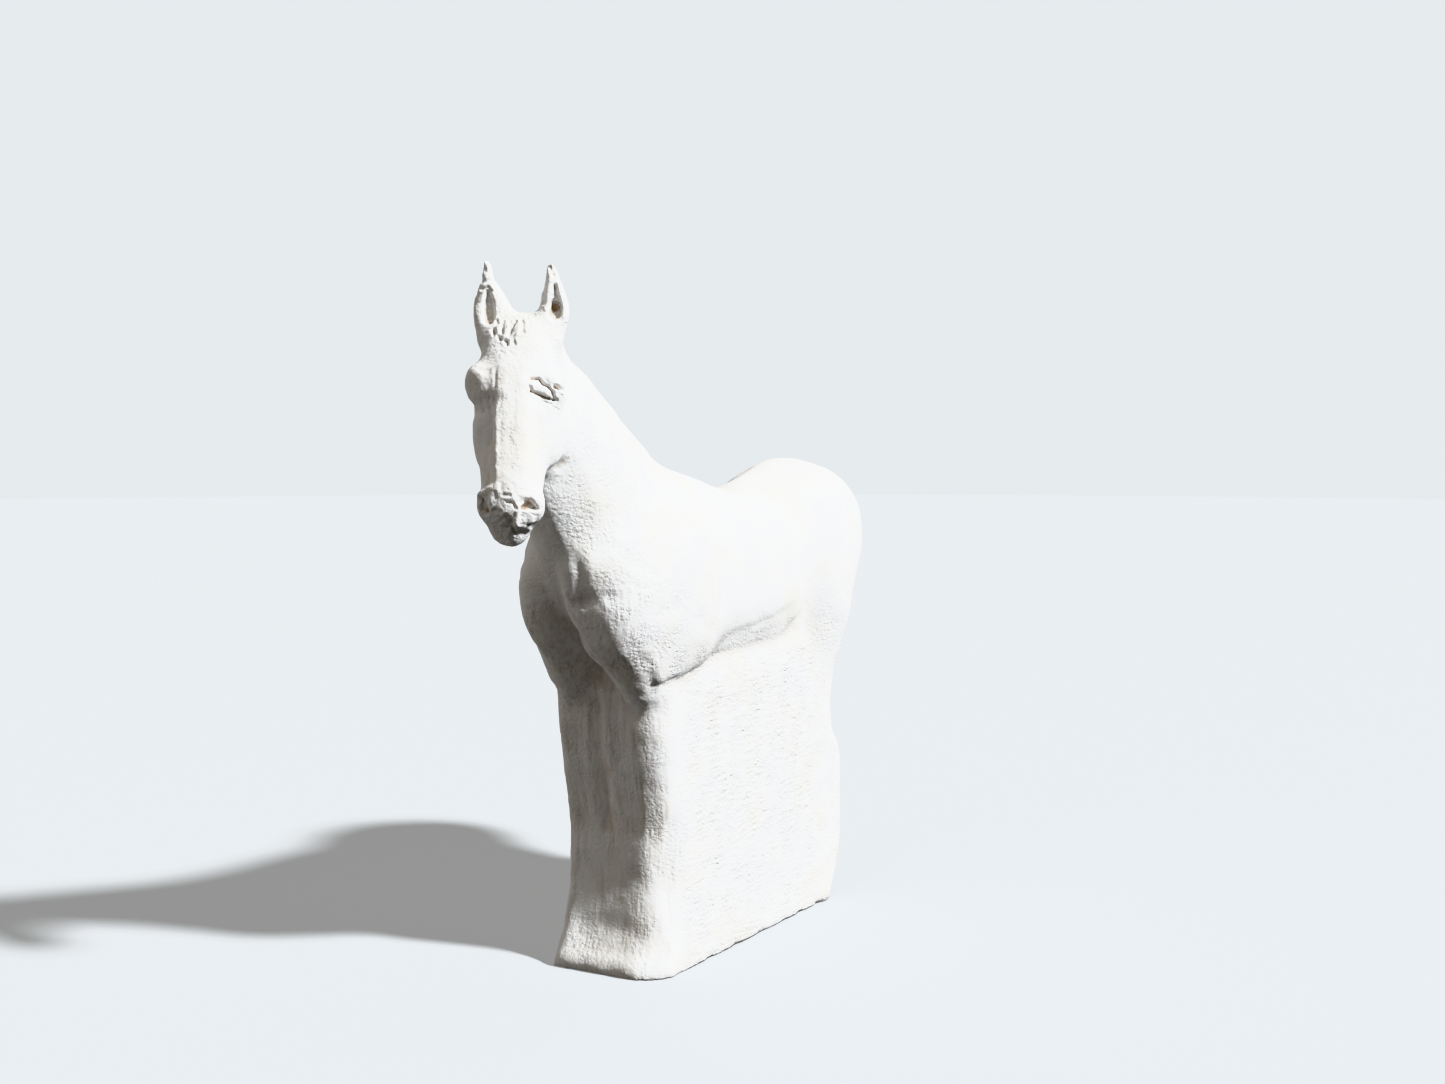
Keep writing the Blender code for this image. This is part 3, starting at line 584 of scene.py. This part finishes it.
def grain_tree():
    tree = bpy.data.node_groups.new("dragged_grog_skin", "GeometryNodeTree")
    sockets = tree.interface
    sockets.new_socket("Skin", in_out="INPUT", socket_type="NodeSocketGeometry")
    for name in ("Grit Size", "Grit Height", "Dab Size", "Dab Height", "Ripple Pitch", "Ripple Height"):
        sockets.new_socket(name, in_out="INPUT", socket_type="NodeSocketFloat")
    sockets.new_socket("Clay", in_out="INPUT", socket_type="NodeSocketMaterial")
    sockets.new_socket("Skin", in_out="OUTPUT", socket_type="NodeSocketGeometry")
    given = add_node(tree, "NodeGroupInput").outputs
    place = add_node(tree, "GeometryNodeInputPosition").outputs[0]
    panel = add_node(tree, "GeometryNodeInputNamedAttribute", {"Name": "trowelled"}, data_type="FLOAT")
    rough = add_node(tree, "GeometryNodeInputNamedAttribute", {"Name": "crumbly"}, data_type="FLOAT")
    panel = panel.outputs[0]
    rough = rough.outputs[0]

    def relief(size, height):
        """Soft lumps of one size, from the given height below the skin to the same above it."""
        scale = add_node(tree, "ShaderNodeMath", {0: 1.0, 1: size}, operation="DIVIDE").outputs[0]
        noise = add_node(tree, "ShaderNodeTexNoise", {"Vector": place, "Scale": scale, "Detail": 2.0})
        noise = noise.outputs[0]
        centred = add_node(tree, "ShaderNodeMath", {0: noise, 1: 0.5}, operation="SUBTRACT").outputs[0]
        doubled = add_node(tree, "ShaderNodeMath", {0: centred, 1: 2.0}, operation="MULTIPLY").outputs[0]
        return add_node(tree, "ShaderNodeMath", {0: doubled, 1: height}, operation="MULTIPLY").outputs[0]

    grit = relief(given["Grit Size"], given["Grit Height"])
    grit = add_node(tree, "ShaderNodeMath", {0: grit, 1: rough}, operation="MULTIPLY").outputs[0]
    dabs = relief(given["Dab Size"], given["Dab Height"])
    off_panel = add_node(tree, "ShaderNodeMapRange", {
        "Value": panel,
        "To Min": 1.0,
        "To Max": DABS_ON_TROWELLED,
    }).outputs[0]
    dabs = add_node(tree, "ShaderNodeMath", {0: dabs, 1: off_panel}, operation="MULTIPLY").outputs[0]
    level = add_node(tree, "ShaderNodeVectorMath", {0: place, 1: RIPPLE_STRETCH}, operation="MULTIPLY")
    level = level.outputs[0]
    pitch = given["Ripple Pitch"]
    pitch = add_node(tree, "ShaderNodeMath", {0: 1.0, 1: pitch}, operation="DIVIDE").outputs[0]
    drag = add_node(tree, "ShaderNodeTexNoise", {"Vector": level, "Scale": pitch, "Detail": 1.0}).outputs[0]
    drag = add_node(tree, "ShaderNodeMath", {0: drag, 1: 0.5}, operation="SUBTRACT").outputs[0]
    ripple = given["Ripple Height"]
    drag = add_node(tree, "ShaderNodeMath", {0: drag, 1: ripple}, operation="MULTIPLY").outputs[0]
    drag = add_node(tree, "ShaderNodeMath", {0: drag, 1: panel}, operation="MULTIPLY").outputs[0]
    both = add_node(tree, "ShaderNodeMath", {0: grit, 1: dabs}, operation="ADD").outputs[0]
    rise = add_node(tree, "ShaderNodeMath", {0: both, 1: drag}, operation="ADD").outputs[0]
    height = add_node(tree, "ShaderNodeSeparateXYZ", {0: place}).outputs[2]
    above_foot = add_node(tree, "ShaderNodeMapRange", {
        "Value": height,
        "From Min": PLAIN_BELOW,
        "From Max": GRAINED_FROM,
    }).outputs[0]
    rise = add_node(tree, "ShaderNodeMath", {0: rise, 1: above_foot}, operation="MULTIPLY").outputs[0]
    normal = add_node(tree, "GeometryNodeInputNormal").outputs[0]
    shift = add_node(tree, "ShaderNodeVectorMath", {0: normal, "Scale": rise}, operation="SCALE").outputs[0]
    raised = add_node(tree, "GeometryNodeSetPosition", {"Geometry": given["Skin"], "Offset": shift})
    real = add_node(tree, "GeometryNodeRealizeInstances", {0: raised.outputs[0]}).outputs[0]
    dressed = add_node(tree, "GeometryNodeSetMaterial", {"Geometry": real, "Material": given["Clay"]})
    add_node(tree, "NodeGroupOutput", {0: dressed.outputs[0]})
    return tree


def raise_grain(obj, material):
    tree = grain_tree()
    grain = obj.modifiers.new("grain", "NODES")
    grain.node_group = tree
    sizes = {
        "Grit Size": GRIT_SIZE,
        "Grit Height": GRIT_HEIGHT,
        "Dab Size": DAB_SIZE,
        "Dab Height": DAB_HEIGHT,
        "Ripple Pitch": RIPPLE_PITCH,
        "Ripple Height": RIPPLE_HEIGHT,
        "Clay": material,
    }
    for item in tree.interface.items_tree:
        if item.in_out == "INPUT" and item.name in sizes:
            grain[item.identifier] = sizes[item.name]
    obj.data = evaluated(obj)
    obj.modifiers.clear()


# The fired surface. White stoneware, biscuit-fired and unglazed, with a thin white slip rubbed back: dead
# matt and chalky on the open faces, warm tan where the slip didn't reach in the creases, and flecked with
# grog of about 1 mm.
SLIP_WHITE = "F4F4F4"
BARE_CLAY = "EFEDE8"
CREASE_TAN = "9C8262"
GROG_FLECK = "C4B9A6"
SLIP_CLOUD_MM = 30
CREASE_STAIN_MM = 4
STREAK_MM = 4
STREAK_STRENGTH = 0.35
GROG_SPACING_MM = 2.5
GROG_PICKED_ABOVE = 0.80
FLECK_STRENGTH = 0.55
# The pebbles that the grog raises, and its drag and scrape marks, are finer in the real clay than here, too
# fine to show.
PEBBLE_MM = 1.6
PEBBLE_PATCH_MM = 13
DRAG_SPACING_MM = 1.4
SCRAPE_SPACING_MM = 1.5
RELIEF_DEPTH_MM = 1.8
# How much of each mark goes into the relief, where the pebbles count 1.
GROG_RELIEF = 0.35
DRAG_RELIEF = 0.9
SCRAPE_RELIEF = 1.1
# A share below 1 draws a pattern out along that axis: drag marks along the horse, scrapes upright.
PEBBLE_STRETCH = (0.8, 0.8, 1.0)
DRAG_STRETCH = (1.0, 0.2, 1.0)
SCRAPE_STRETCH = (1.0, 1.0, 0.16)
STREAK_STRETCH = (1.0, 1.0, 0.12)
# In mm: how deep a crease is where its stain starts, and how much deeper where it is full.
CREASE_FROM_MM = 0.12
CREASE_SPAN_MM = 0.6
CREASE_ROUNDS = 10
BODY_CREASE_SHARE = 0.22


def hollow_share(obj):
    """How deep in a crease each place lies, from 0 to 1: how far the skin sits under its smoothed self."""
    points = points_of(obj.data) * 1000
    links = edges_of(obj.data)
    level = points
    for _ in range(CREASE_ROUNDS):
        level = neighbour_mean(level, links)
    sunk = neighbour_mean(((level - points) * normals_of(obj.data)).sum(1), links)
    on_head = np.linalg.norm((in_head_axes(points) - HEAD_REGION[0]) / HEAD_REGION[1], axis=1) < 1
    return np.clip((sunk - CREASE_FROM_MM) / CREASE_SPAN_MM, 0, 1) * np.where(on_head, 1.0, BODY_CREASE_SHARE)


def white_stoneware():
    """Matt, light-scattering biscuit: no gloss, a cloudy white, tan in the creases, and a pebbled relief."""
    material = bpy.data.materials.new("unglazed_white_stoneware")
    material.use_nodes = True
    tree = material.node_tree
    shader = tree.nodes["Principled BSDF"]
    shader.inputs["IOR"].default_value = 1.5
    shader.inputs["Roughness"].default_value = 0.92
    shader.inputs["Specular IOR Level"].default_value = 0.25
    place = add_node(tree, "ShaderNodeTexCoord").outputs["Object"]
    crease = add_node(tree, "ShaderNodeAttribute", attribute_name="crease").outputs["Fac"]
    panel = add_node(tree, "ShaderNodeAttribute", attribute_name="trowelled").outputs["Fac"]
    scraped = add_node(tree, "ShaderNodeAttribute", attribute_name="scraped").outputs["Fac"]
    crumbly = add_node(tree, "ShaderNodeAttribute", attribute_name="crumbly").outputs["Fac"]

    # Slip, cloudy where it is rubbed through to the clay.
    cloud = add_node(tree, "ShaderNodeTexNoise", {
        "Vector": place,
        "Scale": 1000 / SLIP_CLOUD_MM,
        "Detail": 3.0,
    }).outputs[0]
    worn = add_node(tree, "ShaderNodeMapRange", {"Value": cloud, "From Min": 0.42, "From Max": 0.75})
    body = add_node(tree, "ShaderNodeMix", {
        0: worn.outputs[0],
        6: linear(SLIP_WHITE),
        7: linear(BARE_CLAY),
    }, data_type="RGBA").outputs[2]

    # Tan in the creases, blotched.
    stain = add_node(tree, "ShaderNodeTexNoise", {"Vector": place, "Scale": 1000 / CREASE_STAIN_MM})
    stain = add_node(tree, "ShaderNodeMapRange", {
        "Value": stain.outputs[0],
        "To Min": 0.55,
        "To Max": 1.1,
    }).outputs[0]
    wash = add_node(tree, "ShaderNodeMath", {0: crease, 1: stain}, operation="MULTIPLY", use_clamp=True)
    body = add_node(tree, "ShaderNodeMix", {
        0: wash.outputs[0],
        6: body,
        7: linear(CREASE_TAN),
    }, data_type="RGBA").outputs[2]

    # Upright tan streaks where the tool scraped the slip away.
    upright = add_node(tree, "ShaderNodeMapping", {"Vector": place, "Scale": STREAK_STRETCH}).outputs[0]
    streak = add_node(tree, "ShaderNodeTexNoise", {
        "Vector": upright,
        "Scale": 1000 / STREAK_MM,
        "Detail": 3.0,
    }).outputs[0]
    streak = add_node(tree, "ShaderNodeMapRange", {
        "Value": streak,
        "From Min": 0.5,
        "From Max": 0.8,
        "To Max": STREAK_STRENGTH,
    }).outputs[0]
    streak = add_node(tree, "ShaderNodeMath", {0: streak, 1: scraped}, operation="MULTIPLY").outputs[0]
    body = add_node(tree, "ShaderNodeMix", {
        0: streak,
        6: body,
        7: linear(CREASE_TAN),
    }, data_type="RGBA").outputs[2]

    # Grog flecks, about a fifth of the grains coming up through the slip.
    grain = add_node(tree, "ShaderNodeTexVoronoi", {"Vector": place, "Scale": 1000 / GROG_SPACING_MM})
    away = grain.outputs["Distance"]
    dot = add_node(tree, "ShaderNodeMapRange", {
        "Value": away,
        "From Min": 0.10,
        "From Max": 0.24,
        "To Min": 1.0,
        "To Max": 0.0,
    }).outputs[0]
    picked = add_node(tree, "ShaderNodeSeparateColor", {0: grain.outputs["Color"]}).outputs[0]
    picked = add_node(tree, "ShaderNodeMath", {0: picked, 1: GROG_PICKED_ABOVE}, operation="GREATER_THAN")
    fleck = add_node(tree, "ShaderNodeMath", {0: dot, 1: picked.outputs[0]}, operation="MULTIPLY").outputs[0]
    fleck = add_node(tree, "ShaderNodeMath", {0: fleck, 1: FLECK_STRENGTH}, operation="MULTIPLY").outputs[0]
    body = add_node(tree, "ShaderNodeMix", {
        0: fleck,
        6: body,
        7: linear(GROG_FLECK),
    }, data_type="RGBA").outputs[2]
    tree.links.new(body, shader.inputs["Base Color"])

    # Relief: pebbles in patches, grog, drag marks on the trowelled sides and scrapes on the nose and front. A
    # noise has about two ridges to its size, so 500 and not 1000 turns the spacing of marks into its scale.
    lie = add_node(tree, "ShaderNodeMapping", {"Vector": place, "Scale": PEBBLE_STRETCH}).outputs[0]
    pebble = add_node(tree, "ShaderNodeTexNoise", {
        "Vector": lie,
        "Scale": 1000 / PEBBLE_MM,
        "Detail": 4.0,
        "Roughness": 0.62,
    }).outputs[0]
    grit = add_node(tree, "ShaderNodeMath", {0: 1.0, 1: away}, operation="SUBTRACT").outputs[0]
    level = add_node(tree, "ShaderNodeMapping", {"Vector": place, "Scale": DRAG_STRETCH}).outputs[0]
    drag = add_node(tree, "ShaderNodeTexNoise", {"Vector": level, "Scale": 500 / DRAG_SPACING_MM})
    drag = add_node(tree, "ShaderNodeMath", {0: drag.outputs[0], 1: panel}, operation="MULTIPLY")
    upright = add_node(tree, "ShaderNodeMapping", {"Vector": place, "Scale": SCRAPE_STRETCH}).outputs[0]
    scrape = add_node(tree, "ShaderNodeTexNoise", {"Vector": upright, "Scale": 500 / SCRAPE_SPACING_MM})
    scrape = add_node(tree, "ShaderNodeMath", {0: scrape.outputs[0], 1: scraped}, operation="MULTIPLY")
    relief = pebble
    marks = ((grit, GROG_RELIEF), (drag.outputs[0], DRAG_RELIEF), (scrape.outputs[0], SCRAPE_RELIEF))
    for mark, share in marks:
        relief = add_node(tree, "ShaderNodeMath", {0: mark, 1: share, 2: relief}, operation="MULTIPLY_ADD")
        relief = relief.outputs[0]

    patch = add_node(tree, "ShaderNodeTexNoise", {
        "Vector": place,
        "Scale": 1000 / PEBBLE_PATCH_MM,
        "Detail": 2.0,
    }).outputs[0]
    patch = add_node(tree, "ShaderNodeMapRange", {
        "Value": patch,
        "From Min": 0.36,
        "From Max": 0.62,
        "To Min": 0.25,
        "To Max": 0.7,
    }).outputs[0]
    rough = add_node(tree, "ShaderNodeMath", {0: patch, 1: crumbly}, operation="MULTIPLY").outputs[0]
    rough = add_node(tree, "ShaderNodeMath", {
        0: panel,
        1: 0.25,
        2: rough,
    }, operation="MULTIPLY_ADD", use_clamp=True).outputs[0]
    bump = add_node(tree, "ShaderNodeBump", {
        "Strength": rough,
        "Distance": RELIEF_DEPTH_MM / 1000,
        "Height": relief,
    })
    tree.links.new(bump.outputs[0], shader.inputs["Normal"])
    return material


note_on_skin("trowelled", trowelled)
note_on_skin("crumbly", crumbly)
note_on_skin("scraped", np.maximum(on_nose, to_front))
raise_grain(horse, white_stoneware())
note_on_skin("crease", hollow_share(horse))
horse.data.shade_smooth()
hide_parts("stoneware_horse")
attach(horse, "root")
